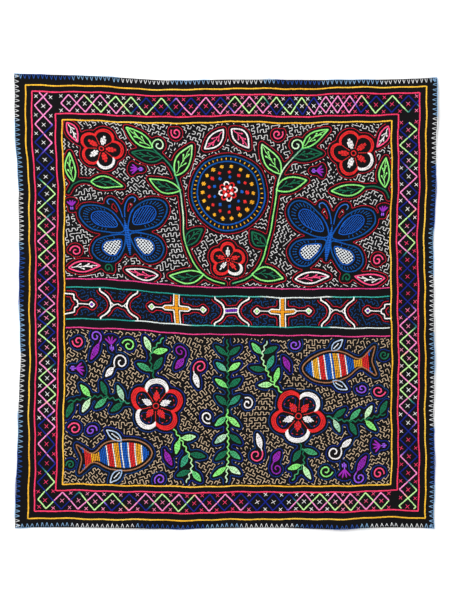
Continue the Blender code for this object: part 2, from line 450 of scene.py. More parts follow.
# How long each colour runs round the edge, clockwise from each side's first corner, and
# how far from its ends a run has its full colour.
EDGE_RUNS = {
    "top": ((10, LIGHT), (66, ROYAL), (62, LIGHT), (66, WHITE), (48, LIGHT), (72, WHITE),
            (16, LIGHT), (56, ROYAL), (80, LIGHT), (64, WHITE), (10, LIGHT)),
    "right": ((50, LIGHT), (62, WHITE), (84, ROYAL), (62, LIGHT), (74, WHITE), (54, LIGHT),
              (72, WHITE), (72, ROYAL), (61, LIGHT)),
    "bottom": ((12, LIGHT), (72, WHITE), (16, LIGHT), (72, ROYAL), (10, LIGHT), (70, WHITE),
               (48, LIGHT), (88, ROYAL), (86, WHITE), (76, LIGHT)),
    "left": ((12, WHITE), (18, LIGHT), (66, ROYAL), (50, LIGHT), (72, WHITE), (62, LIGHT),
             (72, ROYAL), (10, LIGHT), (72, WHITE), (96, LIGHT), (61, WHITE)),
}
RUN_MARGIN = 4
edging = Yarn("edging_stitches", dye_run=830.0)
for side in SIDES:
    ridge = END_RIDGE if side in ("top", "bottom") else SIDE_RIDGE
    ridge_inset = ridge["width"] / 2 + RIDGE_CLEARANCE
    pitch, depth = EDGE_STITCHES[side]
    half = half_of(side) - CORNER_GAP
    pairs = round(2 * half / pitch)
    feet = np.linspace(-half, half, pairs + 1)
    points = feet[:-1] + np.diff(feet) / 2 + hand.normal(0, 0.3, pairs)
    depths = depth + hand.normal(0, 0.4, pairs)
    lengths, colours = np.array(EDGE_RUNS[side]).T
    run_ends = np.cumsum(lengths) - half
    turns = np.stack([run_ends - lengths + RUN_MARGIN, run_ends - RUN_MARGIN], axis=1).ravel()
    colours = np.repeat(colours, 2)
    tips = side_points(side, points, depths)
    for foot in (-FOOT_SPREAD * pitch, FOOT_SPREAD * pitch):
        feet_shown = side_points(side, points + foot, 1.0)
        edging.strokes(feet_shown, tips, LEG, np.interp(points, turns, colours))
    ridge_ends, along = steps_along(side_points(side, [-half, half], ridge_inset), ridge["step"])
    ridge_dye = np.interp(along[:-1] - half, turns, colours)
    edging.strokes(ridge_ends[:-1], ridge_ends[1:], ridge, ridge_dye)
blue_yarn = dyed_yarn(
    "space_dyed_blue_yarn",
    (0.0, "#f2f3f4"), (0.20, "#eceff2"), (0.32, "#9cc6ea"), (0.50, "#7fb0e0"),
    (0.64, "#2a60bc"), (1.0, "#2250a6"),
)
edging_piece = edging.finish(blue_yarn, slot="blue_yarn")
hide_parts("edging")

# The border is four lines of chain stitch in thick cotton floss, gold outside and inside
# and hot pink between. Each side is sewn from corner to corner.

# Each line's floss, the pair that it strays with, and how far in it lies on each side.
BORDER_LINES = (
    ("gold", "outer", (12.7, 13.0, 12.0, 14.0)),
    ("pink", "outer", (20.8, 21.8, 21.4, 22.0)),
    ("pink", "inner", (47.9, 48.6, 47.3, 51.5)),
    ("gold", "inner", (PANEL_TOP_INSET, PANEL_RIGHT_INSET, PANEL_BOTTOM_INSET, PANEL_LEFT_INSET)),
)
# How far each pair of lines strays inward on each side, at even steps clockwise.
LINE_STRAY = {
    "outer": (
        (2.2, 1.1, 0.6, -0.4, -0.3, -2.4, -0.7),
        (1.9, 1.1, 0.3, -0.4, -0.2, -0.5, -1.1),
        (1.3, 1.9, 0.4, -0.5, 0.0, -0.3, 0.5),
        (4.2, 2.0, -0.6, 0.1, 0.6, 0.6, 1.2),
    ),
    "inner": (
        (3.0, 2.7, 1.3, -0.3, 0.9, -0.8, -0.8),
        (1.9, 1.9, 0.9, -0.1, -0.1, 0.0, 0.5),
        (1.7, 1.7, 0.6, 0.2, 1.1, 1.3, 1.3),
        (1.1, 1.1, -0.6, -0.2, 0.5, 1.6, 1.6),
    ),
}
border_yarns = {"gold": Yarn("gold_border_lines"), "pink": Yarn("pink_border_lines")}
for floss, pair, insets in BORDER_LINES:
    for k, side in enumerate(SIDES):
        before, after, half = k - 1, (k + 1) % 4, half_of(side)
        start = insets[before] + LINE_STRAY[pair][before][-1] - half
        end = half - insets[after] - LINE_STRAY[pair][after][0]
        along = np.linspace(start, end, 80)
        inset = insets[k] + between_stations(LINE_STRAY[pair][k], along / (2 * half) + 0.5)
        border_yarns[floss].sew(side_points(side, along, inset), CHAIN, width=2.3)
border_yarns["gold"].finish(
    dyed_yarn("gold_floss", (0.0, "#ffca3c"), (0.45, "#fbbe34"), (0.7, "#ffd250"), (1.0, "#ffca3c"))
)
border_yarns["pink"].finish(plain_yarn("hot_pink_floss", "#ff4374", "#fa3a69"))

# Between the pink lines runs a lattice: two zigzags of space-dyed floss that cross into
# a row of diamonds, with a small cross stitch in each diamond and beside each crossing.

LATTICE_HALF_HEIGHT = 11.2
CROSS_OFFSET = 9.6
CROSS_ARM = 8.3
# Each side's strip, as SIDES has them: its ends, its number of diamonds and the part of
# one after them, where along it the dyes change, and how its diamonds are spaced.
STRIPS = (
    {"start": (-213.9, 261.2), "end": (247.6, 261.2), "diamonds": 25, "after": 0.25,
     "dyes": (
         ((0, 0.02), (4, 0.36), (7, 0.655), (11.2, 0.95), (14, 1.36), (15.5, 1.5), (17, 1.36),
          (21.2, 0.95), (25.2, 0.66)),
         ((0, 0.05), (1.5, 0.36), (4.5, 0.655), (7.2, 0.95), (11, 1.36), (13.7, 1.655),
          (17.7, 1.95), (21.5, 2.36), (24.5, 2.655), (25.2, 2.74)),
     ),
     "cross_dye": ((0, 0.02), (4.7, 0.37), (5.5, 0.46), (9.7, 0.72), (11, 0.80), (14, 0.92),
                   (15, 0.99), (19, 1.37), (20, 1.45), (24.3, 1.72), (25, 1.79)),
     "pace": (0.0, 0.140, 0.273, 0.403, 0.529, 0.650, 0.755, 0.858, 1.0)},
    {"start": (239.8, 237.4), "end": (239.8, -256.5), "diamonds": 23, "after": 0.64,
     "dyes": (
         ((0, 0.45), (3, 0.655), (6.3, 0.95), (7.5, 1.04), (8.6, 0.95), (12.6, 0.655),
          (15.5, 0.36), (18.8, -0.05), (22.2, -0.345), (23.6, -0.5)),
         ((0, 0.72), (2.7, 0.95), (5.6, 1.36), (8, 1.655), (11.2, 1.95), (14.2, 2.36),
          (17.2, 2.655), (20.2, 2.95), (22.8, 3.36), (23.6, 3.45)),
     ),
     "cross_dye": ((0, 0.74), (1, 0.80), (2.3, 0.94), (3, 1.0), (6.1, 1.38), (6.7, 1.44),
                   (10.8, 1.72), (12, 1.80), (14.5, 1.93), (15, 1.99), (19, 2.38), (19.4, 2.46),
                   (23.5, 2.70)),
     "pace": (0.0, 0.116, 0.240, 0.371, 0.500, 0.622, 0.741, 0.872, 1.0)},
    {"start": (215.1, -261.2), "end": (-224.6, -261.2), "diamonds": 21, "after": 0.0,
     "dyes": (
         ((0, 0.5), (3, 0.36), (6.7, -0.05), (9.7, -0.33), (13, -0.05), (16.7, 0.36),
          (19.5, 0.655), (21, 0.78)),
         ((0, 0.02), (3.2, 0.36), (6, 0.655), (9, 0.95), (12.5, 1.36), (15.2, 1.655),
          (17.7, 1.95), (21, 2.34)),
     ),
     "cross_dye": ((0, 0.72), (1.5, 0.75), (2.2, 0.80), (3.3, 0.94), (4, 1.0), (8.7, 1.38),
                   (9.3, 1.46), (13, 1.72), (14.3, 1.80), (17.5, 1.94), (21, 1.80)),
     "pace": (0.0, 0.121, 0.243, 0.363, 0.489, 0.608, 0.738, 0.871, 1.0)},
    {"start": (-237.9, -247.8), "end": (-238.5, 266.4), "diamonds": 24, "after": 0.24,
     "dyes": (
         ((0, 0.82), (1.5, 0.95), (5, 1.36), (7.2, 1.655), (10.5, 1.95), (14, 2.36),
          (17, 2.655), (20.7, 2.95), (24.2, 3.2)),
         ((0, 0.5), (1, 0.655), (4, 0.95), (7.7, 1.36), (11.2, 1.655), (13.5, 1.95),
          (17.2, 2.36), (19.2, 2.655), (22.4, 2.95), (24.3, 3.36)),
     ),
     "cross_dye": ((0, 2.60), (3.6, 2.46), (3.9, 2.37), (7.7, 2.0), (8.2, 1.94), (12, 1.80),
                   (12.6, 1.72), (16.8, 1.46), (17.2, 1.37), (24, 1.02)),
     "pace": (0.0, 0.140, 0.254, 0.366, 0.476, 0.596, 0.721, 0.859, 1.0)},
)
# At the bottom left the two zigzags run on round the corner and close a last diamond.
CORNER_LEGS = (
    ((-236.3, -247.8), (-224.9, -261.2)),
    ((-236.3, -247.8), (-245.0, -258.2), (-234.0, -270.8), (-224.9, -261.2)),
)
CORNER_CROSSES = ((-235.9, -259.8), (-243.3, -268.2))


def toward(angle):
    """A step of 1 in the direction of an angle."""
    return np.array([math.cos(angle), math.sin(angle)])


def zigzag(t):
    """A triangle wave that crosses 0 at whole numbers and has its peaks between them."""
    return 1 - 4 * np.abs((t / 2 + 0.25) % 1.0 - 0.5)


lattice = Yarn("border_lattice", dye_run=310.0)
crosses = Yarn("border_crosses", dye_run=100.0)
LATTICE = {"shape": strand, "step": 2.9, "width": 1.85, "height": 1.0, "lap": 1.25}
CROSS = {"shape": strand, "step": 9.0, "width": 0.78, "height": 0.9, "lap": 1.0}


def sew_cross(middle, size, dye):
    """A cross stitch: two short strokes, one over the other."""
    turn = math.radians(45) + hand.normal(0, 0.09)
    for way in (turn, turn + math.pi / 2):
        reach = size / 2 * toward(way)
        crosses.strokes([middle - reach], [middle + reach], CROSS, dye)


for side, strip, outer_stray, inner_stray in zip(SIDES, STRIPS, *LINE_STRAY.values()):
    start, end = (np.array(strip[key]) for key in ("start", "end"))
    diamonds = strip["diamonds"]
    length = np.hypot(*(end - start))
    heading = (end - start) / length
    outward = np.array([-heading[1], heading[0]])

    def on_strip(t, offset):
        """Points t diamonds along the strip, and that far out from its middle."""
        share = np.interp(t / diamonds, np.linspace(0, 1, len(strip["pace"])), strip["pace"])
        beyond = np.clip(t - diamonds, 0, 1) * length / diamonds
        stray = between_stations(outer_stray, share) + between_stations(inner_stray, share)
        along = share * length + beyond
        return start + np.outer(along, heading) + np.outer(offset - stray / 2, outward)

    last = diamonds + strip["after"]
    turns = np.concatenate([[0.0], np.arange(0.5, last, 1.0), [last]])
    for way, dyes in zip((1, -1), strip["dyes"]):
        vertices = on_strip(turns, way * LATTICE_HALF_HEIGHT * zigzag(turns))
        colours = np.interp(turns, *np.array(dyes).T)
        for a, b, dye, to in zip(vertices, vertices[1:], colours, colours[1:]):
            lattice.sew([a, b], LATTICE, dye, to)
    places = [(k + 0.5, 0.0) for k in range(diamonds + (strip["after"] > 0.5))]
    places += [(k, way * CROSS_OFFSET) for k in range(diamonds + 1) for way in (-1, 1)]
    for t, offset in places:
        if side == "bottom" and t == diamonds and offset < 0:
            continue
        middle = on_strip(np.array([t]), np.array([offset]))[0]
        dye = np.interp(t, *np.array(strip["cross_dye"]).T)
        sew_cross(middle, CROSS_ARM * (1.0 if offset == 0 else 0.85), dye)
for legs, dye in zip(CORNER_LEGS, (0.80, 0.45)):
    for a, b in zip(legs, legs[1:]):
        lattice.sew([a, b], LATTICE, dye, dye)
for place in CORNER_CROSSES:
    sew_cross(np.array(place), CROSS_ARM, 0.6)
lattice.finish(dyed_yarn(
    "space_dyed_pink_green_blue_floss",
    (0.0, "#fb92ce"), (0.34, "#fb92ce"), (0.36, "#f7b694"), (0.38, "#c2f6a0"), (0.63, "#c2f6a0"),
    (0.655, "#2b8c7c"), (0.68, "#0b1c84"), (0.955, "#0c208c"), (0.978, "#8468dc"), (1.0, "#fb92ce"),
))
crosses.finish(dyed_yarn(
    "space_dyed_white_pink_floss",
    (0.0, "#f8f6f5"), (0.37, "#f8f6f5"), (0.42, "#f4729c"), (0.46, "#f63a6f"),
    (0.72, "#f63a6f"), (0.80, "#fb86b4"), (0.94, "#fb9cc2"), (1.0, "#f8f6f5"),
))

# Across the cloth runs a band of geometric figures in white floss, with orange bars and
# small purple and green hearts. A red line follows each figure and navy squiggles fill
# the rest. Two teal and two magenta chain-stitched lines hold the band.

GRID_SPACING = 1.25
SHORTEST_FOLLOWING_LINE = 9.0
# The wandering stitches: how much of their pitch parts two patches and two rounds, how
# many last rounds there are and how far each is tilted, and how a walk picks its way,
# by chance but shy of open ground and of going straight on.
PATCH_GAP = 0.4
ROUND_GAP = 0.78
LAST_ROUNDS = 3
ROUND_TILT = 25
CHANCE = 1.3
SHY_OF_OPEN_GROUND = 0.7
SHY_OF_STRAIGHT_ON = 1.1
PANEL_LEFT = PANEL_LEFT_INSET - HALF_WIDTH
PANEL_RIGHT = HALF_WIDTH - PANEL_RIGHT_INSET


def smooth(points, closed=False, steps=6):
    """A curve through the points."""
    points = np.asarray(points, float)
    if closed:
        points = np.concatenate([points, points[:3]])
        share = np.linspace(1, len(points) - 2, steps * (len(points) - 3) + 1)
    else:
        share = np.linspace(0, len(points) - 1, steps * (len(points) - 1) + 1)
    share = share / (len(points) - 1)
    return np.stack([between_stations(points[:, k], share) for k in (0, 1)], axis=1)


def holds(outline, x, y):
    """Which points a closed outline holds, by how often a ray from each one meets it."""
    held = np.zeros(np.shape(x), bool)
    outline = np.asarray(outline, float)
    for (x0, y0), (x1, y1) in zip(outline, np.roll(outline, -1, axis=0)):
        if y0 != y1:
            passes = (y0 > y) != (y1 > y)
            held ^= passes & (x < x0 + (y - y0) * (x1 - x0) / (y1 - y0))
    return held


def turned_by(angle):
    """The matrix that turns points by an angle, or back when it is transposed."""
    across, up = toward(angle)
    return np.array([[across, up], [-up, across]])


def rows(outline, angle, pitch):
    """Straight rows that fill a closed outline, the way a filled motif is sewn."""
    turn = turned_by(angle)
    turned = np.asarray(outline, float) @ turn.T
    lowest, highest = turned[:, 1].min(), turned[:, 1].max()
    count = max(round((highest - lowest) / pitch), 1)
    made = []
    for level in lowest + (np.arange(count) + 0.5) * (highest - lowest) / count:
        ends = turned, np.roll(turned, -1, axis=0)
        met = (ends[0][:, 1] > level) != (ends[1][:, 1] > level)
        (x0, y0), (x1, y1) = ends[0][met].T, ends[1][met].T
        crossings = np.sort(x0 + (level - y0) * (x1 - x0) / (y1 - y0))
        for a, b in zip(crossings[::2], crossings[1::2]):
            if b - a > 0.8:
                made.append(np.array([(a + 0.3, level), (b - 0.3, level)]) @ turn)
    return made


def nearest(places, marks):
    """How far each place is from the nearest of the marks."""
    tree = KDTree(len(marks))
    for k, (x, y) in enumerate(marks.tolist()):
        tree.insert((x, y, 0.0), k)
    tree.balance()
    return np.array([tree.find((x, y, 0.0))[2] for x, y in places.tolist()])


class Panel:
    """A field of the cloth: its motifs, the lines that follow them and what fills it."""

    def __init__(self, bottom, top, stray):
        self.stray = stray
        across = np.arange(PANEL_LEFT + 2.6, PANEL_RIGHT - 2.5, GRID_SPACING)
        up = np.arange(bottom + 2.8, top - 2.7, GRID_SPACING)
        self.x, self.y = np.meshgrid(across, up)
        self.marks, self.solids = [], []

    def loosely(self, path):
        """The path as a hand draws it: the same motif never comes out quite the same."""
        x, y = np.asarray(path, float).T
        stray_x = np.sin(x / 23 + y / 37) + 0.6 * np.sin(y / 11 - x / 17)
        stray_y = np.sin(y / 21 - x / 43 + 1) + 0.6 * np.sin(x / 12 + y / 19)
        return np.stack([x + self.stray * stray_x, y + self.stray * stray_y], axis=1)

    def sew(self, yarn, path, stitch, dye=None, to=None, **changes):
        """Sews a motif's line, which the fill then keeps clear of."""
        path = self.loosely(path)
        self.marks.append(steps_along(path, 1.0)[0])
        yarn.sew(path, stitch, dye, to, **changes)

    def fill(self, yarn, outline, angle, pitch, dye, **changes):
        """Fills a closed outline with rows of floss that run at an angle."""
        for row in rows(outline, angle, pitch):
            self.sew(yarn, row, FILL, dye, **changes)

    def keep_clear(self, outline):
        """Keeps the fill out of a motif's closed outline."""
        self.solids.append(self.loosely(outline))

    def has_room(self, place):
        """Whether a place is inside the field, clear of the lines round it."""
        within = self.x[0, 0] + 2 < place[0] < self.x[0, -1] - 2
        return within and self.y[0, 0] + 2 < place[1] < self.y[-1, 0] - 2

    def measure(self):
        """Works out how far each place of the grid is from the nearest motif."""
        places = np.stack([self.x.ravel(), self.y.ravel()], axis=1)
        away = nearest(places, np.concatenate(self.marks)).reshape(self.x.shape)
        for outline in self.solids:
            away[holds(outline, self.x, self.y)] = 0.0
        self.away = away

    def clear_of_motifs(self, x, y):
        """How far points are from the nearest motif, and 0 outside the panel."""
        column = np.rint((x - self.x[0, 0]) / GRID_SPACING).astype(int)
        row = np.rint((y - self.y[0, 0]) / GRID_SPACING).astype(int)
        within = (column >= 0) & (column < self.x.shape[1]) & (row >= 0) & (row < self.x.shape[0])
        row = np.clip(row, 0, self.x.shape[0] - 1)
        column = np.clip(column, 0, self.x.shape[1] - 1)
        return np.where(within, self.away[row, column], 0.0)

    def following_lines(self, distance):
        """The lines that run that far from the motifs, all round them."""
        shape = bmesh.new()
        grid = zip(self.x, self.y, self.away)
        made = [[shape.verts.new(place) for place in zip(*line)] for line in grid]
        for low, high in zip(made, made[1:]):
            for k in range(len(low) - 1):
                shape.faces.new((low[k], low[k + 1], high[k + 1], high[k]))
        bmesh.ops.bisect_plane(
            shape,
            geom=shape.verts[:] + shape.edges[:] + shape.faces[:],
            plane_co=(0, 0, distance),
            plane_no=(0, 0, 1),
            clear_inner=True,
            clear_outer=True,
        )
        unused = set(shape.edges)
        lines = []
        for start in sorted(shape.verts, key=lambda vert: len(vert.link_edges) != 1):
            line = [start]
            while edge := next((e for e in line[-1].link_edges if e in unused), None):
                unused.remove(edge)
                line.append(edge.other_vert(line[-1]))
            points = np.array([vert.co[:2] for vert in line])
            if len(points) > 3 and np.hypot(*np.diff(points, axis=0).T).sum() > SHORTEST_FOLLOWING_LINE:
                points[1:-1] = (points[:-2] + 2 * points[1:-1] + points[2:]) / 4
                lines.append(points)
        shape.free()
        return lines

    def wandering_lines(self, clearance, pitch, patches, tilts, longest):
        """Lines that fill the free ground in short square turns, tilted patch by patch.

        The last rounds have no patch of their own, and fill what the others have left.
        """
        low = (self.x[0, 0], self.y[0, 0])
        high = (self.x[-1, -1], self.y[-1, -1])
        middles = hand.uniform(low, high, (patches, 2))
        reach = int(np.hypot(high[0] - low[0], high[1] - low[1]) / pitch)
        j, i = np.mgrid[-reach:reach, -reach:reach].reshape(2, -1)
        lines = []
        for number in range(patches + LAST_ROUNDS):
            middle = middles[number % patches]
            tilt = math.radians(tilts[number % len(tilts)] + ROUND_TILT * (number // patches))
            step = pitch * toward(tilt)
            places = middle + np.outer(i, step) + np.outer(j, (-step[1], step[0]))
            clear = self.clear_of_motifs(*places.T) >= clearance
            i_clear, j_clear, places = i[clear], j[clear], places[clear]
            if number < patches:
                others = np.delete(middles, number, axis=0)
                gaps = ((places[:, None, :] - others[None, :, :]) ** 2).sum(axis=2)
                own = ((places - middle) ** 2).sum(axis=1)
                apart = np.hypot(*(others - middle).T)
                free = ((gaps - own[:, None]) / (2 * apart)).min(axis=1) > PATCH_GAP * pitch
            else:
                free = nearest(places, np.concatenate(lines)) > ROUND_GAP * pitch
            nodes = zip(i_clear[free].tolist(), j_clear[free].tolist(), places[free])
            lines += self.walks({(a, b): place for a, b, place in nodes}, longest)
        return lines

    def walks(self, nodes, longest):
        """Walks from node to node, turning as often as they can, with short side branches."""
        ways = ((1, 0), (0, 1), (-1, 0), (0, -1))
        left = dict(nodes)

        def open_ways(node):
            return [w for w in ways if (node[0] + w[0], node[1] + w[1]) in left]

        lines = []
        for start in sorted(nodes):
            if start not in left:
                continue
            del left[start]
            walk, heading = [start], None
            while len(walk) < longest and (choices := open_ways(walk[-1])):
                scores = []
                for way in choices:
                    ahead = (walk[-1][0] + way[0], walk[-1][1] + way[1])
                    score = SHY_OF_OPEN_GROUND * len(open_ways(ahead)) + hand.uniform(0, CHANCE)
                    scores.append(score + (SHY_OF_STRAIGHT_ON if way == heading else 0.0))
                heading = choices[int(np.argmin(scores))]
                walk.append((walk[-1][0] + heading[0], walk[-1][1] + heading[1]))
                del left[walk[-1]]
            if len(walk) == 1:
                beside = [(start[0] + way[0], start[1] + way[1]) for way in ways]
                walk += [node for node in beside if node in nodes][:1]
            points = np.array([nodes[node] for node in walk])
            if len(walk) == 1:
                points = points + np.array([(-0.9, -0.9), (0.9, 0.9)]) * hand.choice((-1, 1), 2)
            lines.append(points + hand.normal(0, 0.3, points.shape))
        return lines


def rounded(path):
    """The path with its corners cut off twice."""
    for _ in range(2):
        low, high = path[:-1] * 0.75 + path[1:] * 0.25, path[:-1] * 0.25 + path[1:] * 0.75
        middle = np.stack([low, high], axis=1).reshape(-1, 2)
        path = np.concatenate([path[:1], middle[1:-1], path[-1:]])
    return path


BAND_HALF_HEIGHT = 20.0
FIGURE = {**CHAIN, "width": 2.2}
FILL = {**BACK, "width": 1.7, "height": 0.9, "lap": 1.15}
FOLLOW = {**BACK, "width": 0.98, "height": 0.75, "step": 3.0, "lap": 1.12}
SQUIGGLE = {**BACK, "width": 1.4, "height": 0.75, "step": 2.0, "lap": 1.15}

# The heights of the band's lines, and of its figures' middles, at even steps across it.
MAGENTA_HEIGHTS = (
    (20.2, 20.3, 20.7, 20.4, 20.7, 20.9, 20.4, 19.8, 20.4),
    (-43.7, -43.4, -42.8, -41.5, -41.6, -40.6, -41.3, -42.4, -43.6),
)
UPPER_TEAL = (9.0,) * 9
LOWER_TEAL = (-32.6, -31.8, -31.2, -29.8, -30.4, -29.7, -30.1, -31.5, -32.8)
FIGURES_RISE = (-2.0, -1.6, 0.2, 1.8, 0.6, 1.8, 2.6, 2.4, 0.5)


def across_panel(stations, x):
    """A value at places across the panel, from its values at even steps."""
    share = (np.asarray(x, float) - PANEL_LEFT) / (PANEL_RIGHT - PANEL_LEFT)
    return between_stations(stations, share)


def sew_band_line(yarn, heights, start, end, dye=None, to=None):
    """Part of a line of chain stitch along the band."""
    x = np.linspace(start, end, max(round((end - start) / 10), 2))
    path = np.stack([x, across_panel(heights, x)], axis=1)
    yarn.sew(path, CHAIN, dye, to, width=1.9)


magenta_lines = Yarn("magenta_band_lines")
for heights in MAGENTA_HEIGHTS:
    sew_band_line(magenta_lines, heights, PANEL_LEFT + 2, PANEL_RIGHT - 2)
magenta_lines.finish(plain_yarn("magenta_floss", "#f04c95", "#e8408a"))
teal_lines = Yarn("teal_band_lines")
for heights, dyes in (
    (UPPER_TEAL, ((-213, 0.0), (-26, 0.32), (40, 0.52), (55, 0.6), (137, 0.74), (141, 0.84),
                  (215.5, 1.0))),
    (LOWER_TEAL, ((-213, 0.0), (-127, 0.3), (-122, 0.6), (-50, 0.74), (-46, 0.84), (131, 1.3),
                  (136, 1.6), (215.5, 1.7))),
):
    for (start, dye), (end, to) in zip(dyes, dyes[1:]):
        sew_band_line(teal_lines, heights, start, end, dye, to)
teal_lines.finish(dyed_yarn(
    "space_dyed_teal_floss",
    (0.0, "#2fae9f"), (0.30, "#1f9a8f"), (0.52, "#56c8b8"), (0.60, "#e9f2ee"),
    (0.74, "#e9f2ee"), (0.82, "#56c8b8"), (1.0, "#2fae9f"),
))

band = Panel(BAND_MIDDLE - BAND_HALF_HEIGHT, BAND_MIDDLE + BAND_HALF_HEIGHT, stray=0.35)
figures = Yarn("white_band_figures")
hearts = Yarn("orange_purple_green_band_fills")
ORANGE, PURPLE, LEAF_GREEN = 0.15, 0.5, 0.85


def on_band(middle, across, up):
    """Points of a figure whose middle is that far along the band, fitted between its lines."""
    x, up = middle + np.asarray(across, float), np.asarray(up, float)
    share = up / BAND_HALF_HEIGHT
    rise = across_panel(FIGURES_RISE, x) * (1 - np.abs(share))
    fall = across_panel(LOWER_TEAL, x) + (BAND_HALF_HEIGHT - BAND_MIDDLE)
    return np.stack([x, BAND_MIDDLE + up + rise + fall * np.maximum(-share, 0)], axis=1)


def sew_straights(points, width):
    """White lines from each point to the next, with a stitch that ends at each one."""
    for a, b in zip(points, points[1:]):
        band.sew(figures, [a, b], FIGURE, width=width)


def sew_diamond(middle, size, dye):
    """A white diamond with a coloured heart."""
    corners = on_band(middle, (size, 0, -size, 0, size), (0, size, 0, -size, 0))
    sew_straights(corners, 1.9)
    band.fill(hearts, corners[:-1] * 0.65 + 0.35 * corners[:-1].mean(axis=0), 0.0, 1.4, dye)


for edge, across, up, diamond in (
    (PANEL_LEFT, (0, 12.7, 13.6, 17.2, 18.3), (12.7, 11.2, 5.2, 3.8, 0.0), -178.9),
    (PANEL_RIGHT, (0, -8.0, -8.6, -12.4, -12.9), (9.2, 9.0, 4.1, 2.6, 0.0), 186.6),
):
    for way in (-1, 1):
        sew_straights(on_band(edge, across, way * np.array(up)), FIGURE["width"])
    arm = np.sign(diamond) * -3.6
    sew_straights(on_band(0, (edge + across[-1], diamond - arm), (0, 0)), 1.7)
    sew_diamond(diamond, 3.6, PURPLE)
for middle, ends, gap, barred in (
    (-143.0, 24.6, 10.6, False), (6.6, 22.4, 8.5, True), (146.7, 21.8, 9.4, False)
):
    for side in (-1, 1):
        half = [(ends, BAND_HALF_HEIGHT), (ends - 0.3, 16.4)]
        half += [(gap + 8.7, 13.5), (gap + 4.0, 9.7), (gap + 1.0, 4.8)]
        arc = np.concatenate([half, [(gap, 0.0)], np.array(half)[::-1] * (1, -1)])
        across, up = smooth(arc, steps=4).T
        band.sew(figures, on_band(middle, side * across, up), FIGURE, width=2.4)
        if not barred:
            nib = side * np.array([gap + 1.2, gap - 3.9, gap + 1.2])
            sew_straights(on_band(middle, nib, (4.8, -0.3, -4.8)), 1.5)
    if barred:
        for up in (0.9, -0.9):
            band.sew(hearts, on_band(middle, (-gap + 1, gap - 1), (up, up)), FILL, PURPLE)
        for up in (-2.7, 2.7):
            sew_straights(on_band(middle, (-gap + 0.6, gap - 0.6), (up, up)), 1.5)
    else:
        wave = on_band(middle, (3.9 - gap, -0.8, 4.0, gap - 3.9), (-0.3, 1.6, -1.6, -0.3))
        band.sew(figures, wave, FIGURE, width=1.6)
for middle, left, right in ((-65.7, -99.2, -30.4), (73.5, 39.4, 108.7)):
    for across in (-1.3, 0.0, 1.3):
        band.sew(hearts, on_band(middle, (across, across), (-19.4, 19.4)), FILL, ORANGE)
    for up in (-0.8, 0.8):
        band.sew(hearts, on_band(middle, (-16, 16), (up, up)), FILL, ORANGE)
    for side in (-1, 1):
        for way in (-1, 1):
            across = side * np.array([3.6, 3.6, 15.5, 19.0])
            up = way * np.array([BAND_HALF_HEIGHT, 3.3, 2.8, 0])
            sew_straights(on_band(middle, across, up), 1.9)
    for diamond, arm in ((left, 4.0), (right, -4.0)):
        end = middle + math.copysign(19.0, diamond - middle)
        sew_straights(on_band(0, (end, diamond + arm), (0, 0)), 1.5)
        sew_diamond(diamond, 4.0, LEAF_GREEN)
band.measure()
band_follow = Yarn("red_lines_round_band_figures")
for line in band.following_lines(4.0):
    band_follow.sew(line, FOLLOW)
band_squiggles = Yarn("navy_band_squiggles")
for line in band.wandering_lines(5.6, 3.1, 14, (0, 50, 25, -20), longest=10):
    band_squiggles.sew(rounded(line), SQUIGGLE)
white_floss = plain_yarn("white_floss", "#f0eeee", "#e6e4e4")
red_floss = plain_yarn("red_floss", "#e21436", "#d01230")
figures.finish(plain_yarn("bright_white_floss", "#fffdfa", "#f8f5f1"))
hearts.finish(dyed_yarn(
    "orange_purple_and_green_floss",
    (0.0, "#ea9c1a"), (0.30, "#ea9c1a"), (0.36, "#7a2fc0"), (0.64, "#7a2fc0"),
    (0.70, "#b2ec90"), (1.0, "#b2ec90"),
))
band_follow.finish(red_floss)
band_squiggles.finish(plain_yarn("navy_floss", "#0a3e75", "#08376a", sheen=0.01))

# The upper field holds a dotted medallion between two blue butterflies, with red flowers
# and leafy vines. All of it is sewn in outline in chain stitch. A red line follows each
# motif and white stitches wander through what is left.

MIDDLE = 1.4
MEDALLION_RADIUS = 49.0
UPPER_BOTTOM = 20.0
VINE = {**CHAIN, "width": 2.2}
OUTLINE = {**CHAIN, "width": 2.4}
VEIN = {**BACK, "width": 1.4, "height": 0.9, "step": 2.6, "lap": 1.15}
MEANDER = {**BACK, "width": 0.87, "height": 0.8, "step": 9.0, "lap": 1.18}
upper = Panel(UPPER_BOTTOM, HALF_LENGTH - PANEL_TOP_INSET, stray=1.1)
greens = Yarn("upper_green_vines", dye_run=480.0)
pinks = Yarn("upper_pink_and_white_leaves", dye_run=420.0)
reds = Yarn("upper_red_flowers", dye_run=300.0)
blues = Yarn("upper_blue_butterflies", dye_run=520.0)
golds = Yarn("upper_gold_dots")
purples = Yarn("upper_purple_buds", dye_run=200.0)


def leaf_sides(base, tip, width, lean=0.0):
    """The two edges of a pointed leaf, each from its base to its tip."""
    base, tip = np.asarray(base, float), np.asarray(tip, float)
    t = np.linspace(0, 1, 13)[:, None]
    along = tip - base
    across = np.array([-along[1], along[0]]) / np.hypot(*along)
    middle = base + t * along + lean * 4 * t * (1 - t) * across
    belly = np.sin(math.pi * t**0.85) * width / 2
    return middle + belly * across, middle - belly * across


def closed_leaf(sides):
    """The two edges of a leaf as one closed outline."""
    return np.concatenate([sides[0], sides[1][::-1]])


def curl(start, heading, radius, turns, way):
    """A tendril that sets off along its heading and winds in on itself."""
    turned = np.linspace(0, turns * 2 * math.pi, max(int(turns * 16), 4))
    radii = radius * (1 - 0.78 * turned / turned[-1])
    angle = math.radians(heading) + way * turned
    steps = radii * turned[1]
    path = np.cumsum(np.stack([steps * np.cos(angle), steps * np.sin(angle)], axis=1), axis=0)
    return np.concatenate([[start], np.asarray(start) + path])


